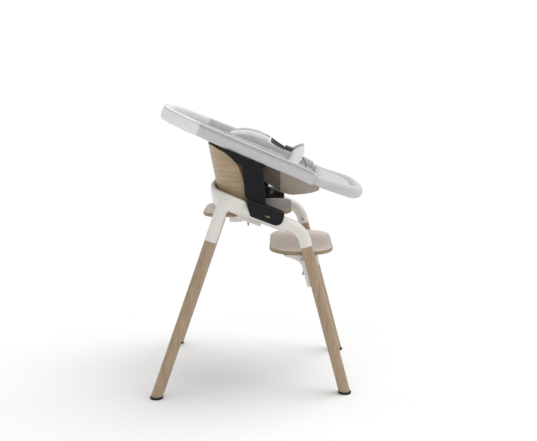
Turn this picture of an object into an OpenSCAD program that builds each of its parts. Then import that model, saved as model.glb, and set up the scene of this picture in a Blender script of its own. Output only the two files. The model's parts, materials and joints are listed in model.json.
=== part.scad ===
/* [Legs] */
// Distance between the centres of the two rear feet
rear_foot_span = 502; // [460:1:540]
// How far the rear feet stand behind the origin
rear_foot_y = 307; // [290:1:320]
// Distance between the centres of the two front feet
front_foot_span = 396; // [390:1:402]
// How far the front feet stand ahead of the origin
front_foot_y = -268; // [-280:1:-255]
// Diameter of the round wooden legs
leg_d = 35; // [33:0.5:36]
// Diameter of the rubber feet
foot_d = 40; // [36:1:44]
// Thickness of the rubber feet
foot_t = 8; // [6:0.5:10]

/* [Frame] */
// Outer diameter of the frame tube
tube_d = 37; // [36:0.5:38]
// Distance between the centre lines of the two side rails
rail_span = 390; // [388:1:392]
// Slope of the side rails in degrees, rising to the rear
rail_slope = 20.6; // [20:0.1:21]
// Height of the rail's centre line above the origin
rail_z0 = 562; // [560:1:564]
// Height at which the front sockets end
front_socket_z = 461; // [455:1:466]
// Height at which the rear sockets end
rear_socket_z = 477; // [470:1:484]

/* [Backrest] */
// Half width of the bent plywood shell
shell_half_w = 170; // [168:1:171]
// Thickness of the plywood shell
shell_t = 9; // [7:0.5:10]
// Lean of the shell in degrees
shell_lean = 10.8; // [10:0.1:12]
// Height of the shell's rear top edge
shell_top = 758; // [750:1:760]

/* [Seat and footrest] */
// Height of the middle of the seat's top face
seat_z = 551; // [549:1:553]
// Thickness of the seat and footrest boards, laminate included
board_t = 13; // [11:0.5:14]
// Height of the footrest's top face
footrest_z = 440; // [436:1:444]

/* [Newborn set] */
// Height of the padded band around the newborn seat
band_h = 41; // [38:1:44]
// Width of the padded band seen from above
band_w = 22; // [20:1:24]
// Diameter of the newborn seat's frame tube
ring_d = 14; // [12:1:15]
// Width of the harness webbing
web_w = 22; // [18:1:25]

/* [Hidden] */
$fn = 48;

wood = "burlywood";
white_paint = [0.93, 0.92, 0.89];
black_plastic = [0.13, 0.13, 0.14];
grey_fabric = [0.8, 0.8, 0.8];
taupe = [0.46, 0.42, 0.38];
gap = 0.3;

tube_r = tube_d / 2;
leg_r = leg_d / 2;
rail_x = rail_span / 2;
front_x = front_foot_span / 2;
rear_x = rear_foot_span / 2;

// Slopes of the legs: how far they move along Y and X for each millimetre of height
front_dy = 0.265;
rear_dy = -0.349;
rear_dx = -0.11;
slope = tan(rail_slope);

// ---------- small vector helpers ----------
function unit(v) = v / norm(v);
function lerp(a, b, t) = a + (b - a) * t;
function smooth(t) = let (c = min(1, max(0, t))) c * c * (3 - 2 * c);
function flip(p, side) = [side * p[0], p[1], p[2]];
function catmull(a, b, c, d, t) =
  0.5 * (2 * b + (c - a) * t + (2 * a - 5 * b + 4 * c - d) * t * t + (3 * b - a - 3 * c + d) * t * t * t);
function spline(p, n) = [
  for (i = [0 : len(p) - 2], k = [0 : n - 1])
    catmull(p[max(0, i - 1)], p[i], p[i + 1], p[min(len(p) - 1, i + 2)], k / n),
  p[len(p) - 1]
];

// A matrix that puts the local Z axis on direction z and the local X axis near direction x
function frame_of(o, z, x) =
  let (w = unit(z), v = unit(cross(w, x)), u = cross(v, w))
  [[u[0], v[0], w[0], o[0]], [u[1], v[1], w[1], o[1]], [u[2], v[2], w[2], o[2]], [0, 0, 0, 1]];

// A round bar from a to b
module rod(a, b, r) {
  d = b - a;
  side = abs(unit(d)[0]) < 0.9 ? [1, 0, 0] : [0, 1, 0];
  multmatrix(frame_of(a, d, side)) cylinder(r = r, h = norm(d));
}

// A round bar through the points, with each inner corner bent to its own radius
module bent_tube(p, bend, r) {
  last = len(p) - 1;
  dir = [for (i = [0 : last - 1]) unit(p[i + 1] - p[i])];
  turn = [for (i = [1 : last - 1]) acos(dir[i - 1] * dir[i])];
  cut = [0, for (i = [0 : last - 2]) bend[i] * tan(turn[i] / 2), 0];
  for (i = [0 : last - 1])
    rod(p[i] + dir[i] * cut[i], p[i + 1] - dir[i] * cut[i + 1], r);
  // a hair-thin bead over each joint of a straight and a bend
  for (i = [1 : last - 1], d = [-dir[i - 1], dir[i]]) {
    joint = p[i] + d * cut[i];
    rod(joint - d, joint + d, r + 0.06);
  }
  for (i = [1 : last - 1]) {
    inward = unit(dir[i] - dir[i - 1] * (dir[i - 1] * dir[i]));
    centre = p[i] - dir[i - 1] * cut[i] + inward * bend[i - 1];
    multmatrix(frame_of(centre, cross(-inward, dir[i - 1]), -inward))
      rotate_extrude(angle = turn[i - 1]) translate([bend[i - 1], 0]) circle(r = r);
  }
}

// A solid swept through rings of points: sec[i] is the outline at path[i], as [sideways, up] pairs
module sweep(path, ups, sec, closed = false) {
  n = len(path);
  m = len(sec[0]);
  points = [
    for (i = [0 : n - 1])
      let (
        before = closed ? path[(i + n - 1) % n] : path[max(0, i - 1)],
        after = closed ? path[(i + 1) % n] : path[min(n - 1, i + 1)],
        t = unit(after - before),
        up = unit(ups[i] - t * (ups[i] * t)),
        side = cross(t, up)
      )
      for (q = sec[i]) path[i] + side * q[0] + up * q[1]
  ];
  spans = closed ? n - 1 : n - 2;
  walls = [
    for (i = [0 : spans], j = [0 : m - 1])
      let (k = (j + 1) % m, e = (i + 1) % n)
      each [[i * m + j, i * m + k, e * m + j], [i * m + k, e * m + k, e * m + j]]
  ];
  caps = closed ? [] : [[for (j = [m - 1 : -1 : 0]) j], [for (j = [0 : m - 1]) (n - 1) * m + j]];
  polyhedron(points = points, faces = concat(walls, caps), convexity = 8);
}

// An outline with round corners between a circle (power 2) and a box (large power)
function oval(a, b, power, n) = [
  for (k = [0 : n - 1])
    let (t = 360 * (k + 0.5) / n, c = cos(t), s = sin(t))
    [a * sign(c) * pow(abs(c), 2 / power), b * sign(s) * pow(abs(s), 2 / power)]
];

// A plate whose outline is a hull of round corners [x, y, r], with its edges rounded by e
module soft_plate(corners, t, e) {
  hull() for (c = corners) translate([c[0], c[1], 0]) rotate_extrude($fn = 32) difference() {
    union() {
      square([c[2] - e, t]);
      translate([0, e]) square([c[2], t - 2 * e]);
      translate([c[2] - e, e]) circle(r = e, $fn = 12);
      translate([c[2] - e, t - e]) circle(r = e, $fn = 12);
    }
    translate([-c[2] * 2, -1]) square([c[2] * 2, t + 2]);
  }
}

// ---------- the side frames ----------
// Places a child in the rail's own frame: X sideways, Y up the rail, Z square to it
module on_rail(side) {
  multmatrix([[side, 0, 0, side * rail_x], [0, 1, 0, 0], [0, 0, 1, rail_z0], [0, 0, 0, 1]])
    rotate([rail_slope, 0, 0]) children();
}
function on_front_leg(z) = [front_x, front_foot_y + front_dy * z, z];
function on_rear_leg(z) = [rear_x + rear_dx * z, rear_foot_y + rear_dy * z, z];
function rail_z(y) = rail_z0 + slope * y;
// Heights at which the leg lines meet the rail line in side view
front_knee_z = (rail_z0 + slope * front_foot_y) / (1 - slope * front_dy);
rear_knee_z = (rail_z0 + slope * rear_foot_y) / (1 - slope * rear_dy);
front_knee = [rail_x, on_front_leg(front_knee_z)[1], front_knee_z];
rear_knee = [rail_x, on_rear_leg(rear_knee_z)[1], rear_knee_z];
front_bend_r = 70;
rear_bend_r = 36;
track_w = 16;
track_bottom = -25.5;
track_from = -96;
track_to = 80;
t_slot_w = 10.6;
t_neck_w = 5.6;
spigot_r = 14;
spigot_l = 24;
// Distances along the rail of the seat slider's ends at rest
slider_from = -22;
slider_to = 54;

bolt_r = 3;
bolt_front = on_front_leg(front_socket_z + 13);
bolt_rear = on_rear_leg(rear_socket_z + 13);

module frame_tube(r) {
  bent_tube(
    [on_front_leg(front_socket_z), front_knee, rear_knee, on_rear_leg(rear_socket_z)],
    [front_bend_r, rear_bend_r], r);
}

module leg_spigot(a, b, r, depth) {
  rod(a - unit(b - a) * 0.01, a + unit(b - a) * depth, r);
}

module bolt_at(side, p, r, from_x, to_x) {
  translate([side * from_x, p[1], p[2]]) rotate([0, side * 90, 0]) cylinder(r = r, h = to_x - from_x, $fn = 32);
}

module track_block() on_rail(1) translate([-track_w / 2, track_from, track_bottom])
  cube([track_w, track_to - track_from, -track_bottom - 12]);
module side_frame(side) {
  mirror([side < 0 ? 1 : 0, 0, 0]) difference() {
    union() {
      frame_tube(tube_r);
      track_block();
    }
    on_rail(1) translate([-t_slot_w / 2, track_from + 8, -23]) cube([t_slot_w, track_to - track_from, 4]);
    on_rail(1) translate([-t_neck_w / 2, track_from + 8, -27]) cube([t_neck_w, track_to - track_from, 5]);
    leg_spigot(on_front_leg(front_socket_z), front_knee, spigot_r + 0.05, spigot_l + 0.5);
    leg_spigot(on_rear_leg(rear_socket_z), rear_knee, spigot_r + 0.05, spigot_l + 0.5);
    bolt_at(1, bolt_front, bolt_r + 0.05, front_x - 30, front_x);
    bolt_at(1, bolt_rear, bolt_r + 0.05, rail_x - 30, bolt_rear[0]);
  }
}
module side_frame_left() { color(white_paint) side_frame(1); }
module side_frame_right() { color(white_paint) side_frame(-1); }
side_frame_left();
side_frame_right();

// ---------- the collar behind the backrest ----------
collar_steps = 32;
sleeve_r = tube_r + 2;
collar_back_y = 141;
collar_start_y = 43;
// u runs from 0 at the right rail to 1 at the left rail, and b is 0 at the rails and 1 at the back
function collar_b(u) = smooth((0.5 - abs(u - 0.5)) / 0.34 - 0.12);
function collar_centre(u) =
  let (
    a = 180 * u,
    x = -rail_x * sign(cos(a)) * pow(abs(cos(a)), 2 / 2.5),
    y = collar_start_y + (collar_back_y - collar_start_y) * pow(abs(sin(a)), 2 / 2.5)
  )
  [x, y, rail_z(y) - 16 * collar_b(u)];
function collar_section(u) =
  let (b = collar_b(u))
  oval(lerp(sleeve_r, 10.3, b), lerp(sleeve_r, 31.5, b), lerp(2, 2.4, b), 20);
function collar_up(u) =
  let (b = collar_b(u), lean = lerp(-rail_slope, -shell_lean, b))
  lerp([0, sin(lean), cos(lean)], [0, -sin(lean), cos(lean)], b);
module collar_band() {
  us = [for (i = [0 : collar_steps]) i / collar_steps];
  sweep([for (u = us) collar_centre(u)], [for (u = us) collar_up(u)], [for (u = us) collar_section(u)]);
}
screw_xs = [-70, -24, 24, 70];
screw_r = 2.5;
screw_z = 598;
module shell_screw(x, r, head, from_y, to_y) {
  translate([x, from_y, screw_z]) rotate([-90, 0, 0]) cylinder(r = r, h = to_y - from_y, $fn = 32);
  if (head > 0)
    translate([x, from_y - 2, screw_z]) rotate([-90, 0, 0]) cylinder(r = head, h = 2, $fn = 32);
}
// Points along the round corner at knee, on the way from a to c
function corner(a, knee, c, r, n) =
  let (
    d = unit(knee - a),
    e = unit(c - knee),
    turn = acos(d * e),
    inward = unit(e - d * (d * e)),
    centre = knee - d * (r * tan(turn / 2)) + inward * r
  )
  [for (k = [0 : n]) centre - inward * (r * cos(turn * k / n)) + d * (r * sin(turn * k / n))];
// The hollow that the rail and its rear bend lie in, a little wider than the tube
bore_gap = 0.2;
bore_sides = 24;
module collar_bore() {
  start = [rail_x, 0, rail_z(0)];
  end = on_rear_leg(rear_socket_z);
  path = concat([start], corner(start, rear_knee, end, rear_bend_r, 12), [end]);
  r = (tube_r + bore_gap) / cos(180 / bore_sides);
  sweep(path, [for (q = path) [1, 0, 0]], [for (q = path) oval(r, r, 2, bore_sides)]);
}
module rear_collar() color(white_paint) difference() {
  collar_band();
  for (side = [-1, 1]) mirror([side < 0 ? 1 : 0, 0, 0]) {
    collar_bore();
    track_block();
  }
  for (x = screw_xs) shell_screw(x, screw_r + 0.05, 0, 90, 137);
}
rear_collar();

// ---------- legs and feet ----------
// The sole of each leg is cut flat on top of its foot, and its top end square to the socket above it
module leg(side, sole, top, knee, spot) {
  up = unit(knee - top);
  mirror([side < 0 ? 1 : 0, 0, 0]) difference() {
    union() {
      difference() {
        rod(sole, top + unit(top - sole) * 6, leg_r);
        rod(top, top + up * 40, leg_r * 2);
      }
      rod(top - up * 4, top + up * spigot_l, spigot_r);
    }
    translate([sole[0] - 60, sole[1] - 60, foot_t - 120]) cube([120, 120, 120]);
    translate([spot[0], spot[1], 0]) cylinder(r = stem_r + 0.05, h = foot_t + stem_l + 0.5);
    bolt_at(1, top[1] < 0 ? bolt_front : bolt_rear, bolt_r + 0.05, rail_x - 40, rail_x + 40);
  }
}
stem_r = 4;
stem_l = 10;
front_foot = on_front_leg(foot_t / 2);
rear_foot = on_rear_leg(foot_t / 2);
module front_leg(side) color(wood)
  leg(side, on_front_leg(foot_t - 12), on_front_leg(front_socket_z), front_knee, front_foot);
module rear_leg(side) color(wood)
  leg(side, on_rear_leg(foot_t - 12), on_rear_leg(rear_socket_z), rear_knee, rear_foot);
module front_leg_left() { front_leg(1); }
module front_leg_right() { front_leg(-1); }
module rear_leg_left() { rear_leg(1); }
module rear_leg_right() { rear_leg(-1); }
front_leg_left();
front_leg_right();
rear_leg_left();
rear_leg_right();

// A rubber disc with a stem that is pressed into the leg
module foot_pad(side, p) {
  color(black_plastic) translate([side * p[0], p[1], 0]) {
    rotate_extrude() polygon([[0, 0], [foot_d / 2 - 1.5, 0], [foot_d / 2, 1.5], [foot_d / 2, foot_t - 2.5],
      [foot_d / 2 - 2.5, foot_t], [0, foot_t]]);
    cylinder(r = stem_r, h = foot_t + stem_l);
  }
}
module foot_front_left() { foot_pad(1, front_foot); }
module foot_front_right() { foot_pad(-1, front_foot); }
module foot_rear_left() { foot_pad(1, rear_foot); }
module foot_rear_right() { foot_pad(-1, rear_foot); }
foot_front_left();
foot_front_right();
foot_rear_left();
foot_rear_right();

// One bolt per socket, put in from the inner side, with its head on the tube
module leg_bolts() color("silver") for (side = [-1, 1], end = [0, 1]) {
  p = end == 0 ? bolt_front : bolt_rear;
  bolt_at(side, p, bolt_r, p[0] - tube_r - 1, p[0] - 1);
  bolt_at(side, p, 5, p[0] - tube_r - 4, p[0] - tube_r - 1);
}
leg_bolts();

// ---------- the backrest shell ----------
shell_power = 2.4;
shell_depth = 106.5;
shell_y = 22;
shell_z = 600;
shell_steps = 56;
function shell_edge(inset, from, to) = [
  for (k = [0 : shell_steps])
    let (a = lerp(from, to, k / shell_steps))
    [(shell_half_w - inset) * sign(cos(a)) * pow(abs(cos(a)), 2 / shell_power),
     (shell_depth - inset) * pow(abs(sin(a)), 2 / shell_power)]
];
// What is cut off the shell in side view: all that lies below, in front of and above its side edge
shell_cut = [[-60, 583], [26, 583], [28, 592], [37, 629], [48, 671], [52, 684], [57, 695], [64, 706],
  [74, 717], [86, 727], [101, 737], [120, 746], [142, shell_top - 3], [220, shell_top + 2],
  [220, 860], [-60, 860]];
module backrest_shell() color(wood) difference() {
  translate([0, shell_y, shell_z]) rotate([-shell_lean, 0, 0]) translate([0, 0, -80])
    linear_extrude(260) polygon(concat(shell_edge(0, 0, 180), shell_edge(shell_t, 180, 0)));
  rotate([90, 0, 90]) translate([0, 0, -250]) linear_extrude(500) polygon(shell_cut);
  translate([-250, -60, 480]) cube([500, 320, 103]);
  for (x = screw_xs) shell_screw(x, screw_r + 0.05, 0, 90, 150);
}
backrest_shell();
// The y of the shell's inner face at the screws' height
function shell_inner_y(x) =
  let (half = shell_half_w - shell_t, bulge = pow(1 - pow(abs(x) / half, shell_power), 1 / shell_power))
  shell_y + (shell_depth - shell_t) * bulge / cos(shell_lean) - (shell_z - screw_z) * tan(shell_lean);
module backrest_screws() color("silver")
  for (x = screw_xs) shell_screw(x, screw_r, 4.5, shell_inner_y(x) - 1 - 0.013 * abs(x), 136);
backrest_screws();

// ---------- the seat ----------
seat_tilt = -2.86;
lam_t = 1;
seat_corners = [[50, 108, 68], [-50, 108, 68], [72, -40, 62], [-72, -40, 62]];
footrest_corners = [[87, 14, 86], [-87, 14, 86], [87, -12, 86], [-87, -12, 86]];
// A frame on the seat's top face: Z is square to it
module on_seat() {
  translate([0, 30, seat_z]) rotate([seat_tilt, 0, 0]) translate([0, -30, 0]) children();
}
function inset(c, d) = [for (q = c) [q[0], q[1], q[2] - d]];
module seat_board() color(wood) on_seat() difference() {
  translate([0, 0, -board_t]) soft_plate(seat_corners, board_t - lam_t, 3);
  for (x = [-60, 60], y = [-30, 70]) translate([x, y, -board_t - 1]) cylinder(r = 2.05, h = 9, $fn = 32);
}
module laminate(corners) color([0.85, 0.81, 0.76]) translate([0, 0, -lam_t]) linear_extrude(lam_t)
  hull() for (q = inset(corners, 2.2)) translate([q[0], q[1]]) circle(r = q[2], $fn = 64);
module seat_laminate() { on_seat() laminate(seat_corners); }
seat_board();
seat_laminate();

// The bracket: a plate under the board and two arms out to the sliders under the rails
beam_from = -8;
beam_to = 44;
module seat_plate(half_x, from_y, to_y, t) {
  on_seat() translate([0, 0, -board_t - t]) linear_extrude(t + 1)
    hull() for (x = [-half_x, half_x], y = [from_y, to_y]) translate([x, y]) circle(r = 12, $fn = 32);
}
module seat_bracket() color(white_paint) difference() {
  union() {
    seat_plate(90, -40, 84, 5);
    seat_plate(92, 62, 80, 19);
    for (side = [-1, 1]) mirror([side < 0 ? 1 : 0, 0, 0]) on_rail(1)
      translate([-100, beam_from, -34.5]) cube([90.5, beam_to - beam_from, 8]);
  }
  on_seat() translate([-150, -150, -board_t]) cube([300, 400, 40]);
  for (x = [-60, 60], y = [-30, 70]) on_seat() translate([x, y, -board_t - 20]) cylinder(r = 2.05, h = 21, $fn = 32);
}
seat_bracket();
module seat_screws() color("silver") for (x = [-60, 60], y = [-30, 70]) on_seat() {
  depth = y > 0 ? 19 : 5;
  translate([x, y, -board_t - depth - 2]) cylinder(r = 4, h = 2, $fn = 32);
  translate([x, y, -board_t - depth - 1]) cylinder(r = 2, h = depth + 7, $fn = 32);
}
seat_screws();

// Each slider hangs in the rail's slot by a tongue. Its outer face has a row of notches
slider_half = 9.5;
slider_top = -26;
slider_bottom = -35;
lever_y = 18;
lever_pin_r = 1.6;
module slider_notches(from, pitch, count, x) {
  for (i = [0 : count - 1]) translate([x, from + i * pitch, -2]) cube([3, pitch * 0.55, 4]);
}
slider_l = slider_to - slider_from;
module seat_slider(side) color(white_paint) mirror([side < 0 ? 1 : 0, 0, 0]) on_rail(1) difference() {
  union() {
    translate([-slider_half, slider_from, slider_bottom]) cube([slider_half * 2, slider_l, slider_top - slider_bottom]);
    translate([-2.5, slider_from, slider_top - 1]) cube([5, slider_l, 4.6]);
    translate([-5, slider_from, -22.7]) cube([10, slider_l, 3.4]);
  }
  translate([0, 0, -30]) slider_notches(slider_from + 4, 8.2, 9, slider_half - 2.5);
  translate([-5, lever_y - 8, slider_bottom - 1]) cube([10, 16, 7.5]);
  translate([-8, lever_y, slider_bottom + 1.5]) rotate([0, 90, 0]) cylinder(r = lever_pin_r + 0.05, h = 16, $fn = 32);
}
module seat_slider_left() { seat_slider(1); }
module seat_slider_right() { seat_slider(-1); }
seat_slider_left();
seat_slider_right();

// A finger lever on a cross pin, drawn round its own pin, its tab hanging down
module lever_body() color("dimgray") {
  rotate([0, 90, 0]) translate([0, 0, -4.5]) cylinder(r = 3, h = 9, $fn = 32);
  rotate([0, 90, 0]) translate([0, 0, -7.7]) cylinder(r = lever_pin_r, h = 15.4, $fn = 32);
  hull() {
    rotate([0, 90, 0]) translate([0, 0, -4.5]) cylinder(r = 2.4, h = 9, $fn = 32);
    translate([-4.5, -5, -10]) rotate([0, 90, 0]) cylinder(r = 2, h = 9, $fn = 32);
  }
}
module seat_lever(side) mirror([side < 0 ? 1 : 0, 0, 0]) on_rail(1)
  translate([0, lever_y, slider_bottom + 1.5]) lever_body();
module seat_lever_left() { seat_lever(1); }
module seat_lever_right() { seat_lever(-1); }
seat_lever_left();
seat_lever_right();

// ---------- the footrest ----------
footrest_y = -133;
module on_footrest() translate([0, footrest_y, footrest_z]) children();
module footrest_board() color(wood) on_footrest() difference() {
  translate([0, 0, -board_t]) soft_plate(footrest_corners, board_t - lam_t, 3);
  for (x = [-90, 90], y = [-20, 40]) translate([x, y, -board_t - 1]) cylinder(r = 2.05, h = 9, $fn = 32);
}
module footrest_laminate() { on_footrest() laminate(footrest_corners); }
footrest_board();
footrest_laminate();
// Curved side arms carry the board back from the leg sliders
arm_side = [[55, 0], [-42, 0], [-42, -10], [-8.5, -12], [-13, -44], [-4.5, -44], [-2, -36], [3, -27],
  [11, -19], [24, -12], [38, -7.5], [50, -5]];
module footrest_bracket() color(white_paint) on_footrest() translate([0, 0, -board_t]) difference() {
  union() {
    translate([0, 0, -4]) soft_plate([[120, 40, 14], [-120, 40, 14], [120, -28, 14], [-120, -28, 14]], 4, 1.5);
    for (side = [-1, 1]) mirror([side < 0 ? 1 : 0, 0, 0])
      translate([148, 0, 0]) rotate([90, 0, 90]) linear_extrude(21) polygon(arm_side);
    for (side = [-1, 1]) mirror([side < 0 ? 1 : 0, 0, 0]) translate([126, -20, -4]) cube([23, 60, 4]);
  }
  for (x = [-90, 90], y = [-20, 40]) translate([x, y, -5]) cylinder(r = 2.05, h = 6, $fn = 32);
}
footrest_bracket();
module footrest_screws() color("silver") on_footrest() for (x = [-90, 90], y = [-20, 40]) {
  translate([x, y, -board_t - 6]) cylinder(r = 4, h = 2, $fn = 32);
  translate([x, y, -board_t - 5]) cylinder(r = 2, h = 12, $fn = 32);
}
footrest_screws();

// Each slider hugs the inner half of its front leg. Local Z runs up the leg, Y is its rear side
foot_slide_from = 342;
foot_slide_l = 84;
leg_lean = atan(front_dy);
module on_leg(side) mirror([side < 0 ? 1 : 0, 0, 0])
  translate([front_x, on_front_leg(foot_slide_from)[1], foot_slide_from]) rotate([-leg_lean, 0, 0]) children();
foot_lever_z = 49;
module footrest_slider(side) color(white_paint) on_leg(side) difference() {
  union() {
    translate([-28.7, -2, 30]) cube([26, 30, foot_slide_l - 30]);
    translate([-12, 10, 0]) cube([13, 18, foot_slide_l]);
    translate([-28.7, -22.5, foot_slide_l - 25]) cube([28, 25, 22]);
  }
  translate([0, 0, -5]) cylinder(r = leg_r + 0.06, h = foot_slide_l + 10);
  for (i = [0 : 6]) translate([-2, 21, 6 + i * 11.5]) cube([4, 9, 5]);
  translate([-20, 20.5, foot_lever_z - 8]) cube([10, 12, 16]);
  translate([-23, 26, foot_lever_z]) rotate([0, 90, 0]) cylinder(r = lever_pin_r + 0.05, h = 16, $fn = 32);
}
module footrest_slider_left() { footrest_slider(1); }
module footrest_slider_right() { footrest_slider(-1); }
footrest_slider_left();
footrest_slider_right();
module footrest_lever(side) on_leg(side) translate([-15, 26, foot_lever_z]) rotate([60, 0, 0]) lever_body();
module footrest_lever_left() { footrest_lever(1); }
module footrest_lever_right() { footrest_lever(-1); }
footrest_lever_left();
footrest_lever_right();

// ---------- the adapter that carries the newborn seat ----------
bore_r = tube_r + gap;
clamp_top = 30.7;
clamp_corners = [
  [-57.5, 6, 20], [-66, 19, 11], [20, clamp_top - 10, 10], [34, clamp_top - 8, 8], [12, -4, 10]
];
clamp_in = 22.5;
clamp_out = 26;
// Turns a plate drawn in X and Y into one that stands in the side view, its thickness across
module stand(from) translate([from, 0, 0]) rotate([90, 0, 90]) children();
indicator = [-38, 2];
button_spot = [-30, 20];
button_r = 8;
module clamp(side) color(black_plastic) mirror([side < 0 ? 1 : 0, 0, 0]) on_rail(1) difference() {
  stand(-clamp_in) soft_plate(clamp_corners, clamp_in + clamp_out, 4);
  translate([0, -120, 0]) rotate([-90, 0, 0]) cylinder(r = bore_r, h = 240);
  translate([-bore_r, -120, -40]) cube([bore_r * 2, 240, 40]);
  translate([clamp_out - 1.2, indicator[0], indicator[1]]) cube([4, 13, 4]);
  translate([-clamp_in - 1, button_spot[0], button_spot[1]]) rotate([0, 90, 0]) cylinder(r = button_r + 0.1, h = 9);
  for (y = arm_bolt_ys) arm_bolt(y, 2.55);
}
module clamp_left() { clamp(1); }
module clamp_right() { clamp(-1); }
clamp_left();
clamp_right();
module lock_indicator(side) color("yellowgreen") mirror([side < 0 ? 1 : 0, 0, 0]) on_rail(1)
  translate([clamp_out - 1.2, indicator[0], indicator[1]]) cube([1.4, 13, 4]);
module lock_indicator_left() { lock_indicator(1); }
module lock_indicator_right() { lock_indicator(-1); }
lock_indicator_left();
lock_indicator_right();
// A round button on the clamp's inner side that is pressed outwards to unlock the set
module release_button(side) color("dimgray") mirror([side < 0 ? 1 : 0, 0, 0]) on_rail(1)
  translate([-clamp_in - 3, button_spot[0], button_spot[1]]) rotate([0, 90, 0]) {
    cylinder(r1 = button_r - 1, r2 = button_r, h = 1);
    translate([0, 0, 1]) cylinder(r = button_r, h = 6.5);
  }
module release_button_left() { release_button(1); }
module release_button_right() { release_button(-1); }
release_button_left();
release_button_right();

// The arm stands on the clamp and leans in under the padded band
arm_t = 15;
arm_tilt = -9;
arm_foot_z = 592;
arm_x = 196;
arm_post = [[28, 2, 7], [-18, -3, 7], [-8, 78, 5], [-9, 106, 7], [38, 110, 8]];
arm_flange = [[-20, 106.6, 4], [96, 154.6, 3], [60, 130.6, 12], [10, 104.6, 12]];
module on_arm(side) mirror([side < 0 ? 1 : 0, 0, 0]) translate([arm_x, 0, arm_foot_z]) rotate([0, arm_tilt, 0]) children();
module arm(side) color(black_plastic) difference() {
  on_arm(side) stand(-arm_t / 2) union() {
    soft_plate(arm_post, arm_t, 3);
    soft_plate(arm_flange, arm_t, 2.5);
  }
  mirror([side < 0 ? 1 : 0, 0, 0]) on_rail(1) translate([-60, -160, -60]) cube([120, 320, 60 + clamp_top + 0.2]);
  for (y = arm_bolt_ys) mirror([side < 0 ? 1 : 0, 0, 0]) on_rail(1) arm_bolt(y, 2.55);
}
arm_bolt_ys = [-2, 26];
module arm_bolt(y, r) translate([3, y, 23]) cylinder(r = r, h = 17, $fn = 32);
module arm_left() { arm(1); }
module arm_right() { arm(-1); }
arm_left();
arm_right();
module arm_bolts() color("silver") for (side = [-1, 1], y = arm_bolt_ys)
  mirror([side < 0 ? 1 : 0, 0, 0]) on_rail(1) arm_bolt(y, 2.5);
arm_bolts();

// ---------- the newborn seat ----------
// Half of the frame ring's centre line, from the head end round to the foot end
ring_half = [[0, 292, 851], [66, 284, 848], [112, 250, 835], [134, 200, 814], [152, 130, 785], [168, 50, 753],
  [175, -40, 716], [170, -120, 682], [160, -170, 657], [150, -205, 641], [138, -250, 626], [112, -288, 613],
  [62, -305, 606], [0, -309, 604]];
half_last = len(ring_half) - 1;
ring_points = concat(
  ring_half,
  [for (i = [half_last - 1 : -1 : 1]) flip(ring_half[i], -1)]
);
ring_steps = 3;
ring_n = len(ring_points);
function ring_at(i) = ring_points[(i + ring_n) % ring_n];
function ring_path(from, to, n) = [
  for (i = [from : to - 1], k = [0 : n - 1]) catmull(ring_at(i - 1), ring_at(i), ring_at(i + 1), ring_at(i + 2), k / n),
  ring_at(to)
];
seam = 8; // the control point where the main cover meets the leg rest cover
band_slope = 22.3;
band_up = [0, -sin(band_slope), cos(band_slope)];
function constant(v, n) = [for (i = [1 : n]) v];
// The ring tube runs all the way round
ring_r = ring_d / 2;
ring_loop = [
  for (i = [0 : ring_n - 1], k = [0 : ring_steps - 1])
    catmull(ring_at(i - 1), ring_at(i), ring_at(i + 1), ring_at(i + 2), k / ring_steps)
];
module ring_tube() color("silver")
  sweep(ring_loop, constant(band_up, len(ring_loop)), constant(oval(ring_r, ring_r, 2, 10), len(ring_loop)), true);
ring_tube();
module ring_channel() {
  r = ring_r + gap;
  sweep(ring_loop, constant(band_up, len(ring_loop)), constant(oval(r, r, 2, 10), len(ring_loop)), true);
}
// The padded band of the main cover, from one seam over the head end to the other
main_path = ring_path(-seam, seam, ring_steps);
module rim_cover() color(grey_fabric) difference() {
  sweep(main_path, constant(band_up, len(main_path)), constant(oval(band_w / 2, band_h / 2, 3, 16), len(main_path)));
  ring_channel();
}
rim_cover();
// The leg rest's sleeve is fuller at the foot end
foot_path = ring_path(seam, ring_n - seam, ring_steps);
function foot_h(p) = lerp(15.5, 19.5, smooth((-p[1] - 180) / 110));
function foot_w(p) = lerp(11.5, 16.6, smooth((-p[1] - 200) / 100));
module leg_rest_cover() color(grey_fabric) difference() {
  inner = [for (i = [1 : len(foot_path) - 2]) foot_path[i]];
  sweep(inner, constant(band_up, len(inner)), [for (p = inner) oval(foot_w(p), foot_h(p), 2.2, 16)]);
  ring_channel();
}
leg_rest_cover();

// Height of the ring's centre line at y, and its half width there
function ring_row(y, i = 0) = ring_half[i + 1][1] <= y || i + 2 > half_last ? i : ring_row(y, i + 1);
function ring_part(y) =
  let (i = ring_row(y), a = ring_half[i], b = ring_half[i + 1])
  lerp(a, b, (y - a[1]) / (b[1] - a[1]));
function ring_w(y) = ring_part(y)[0];
function ring_z(y) = ring_part(y)[2];

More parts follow.
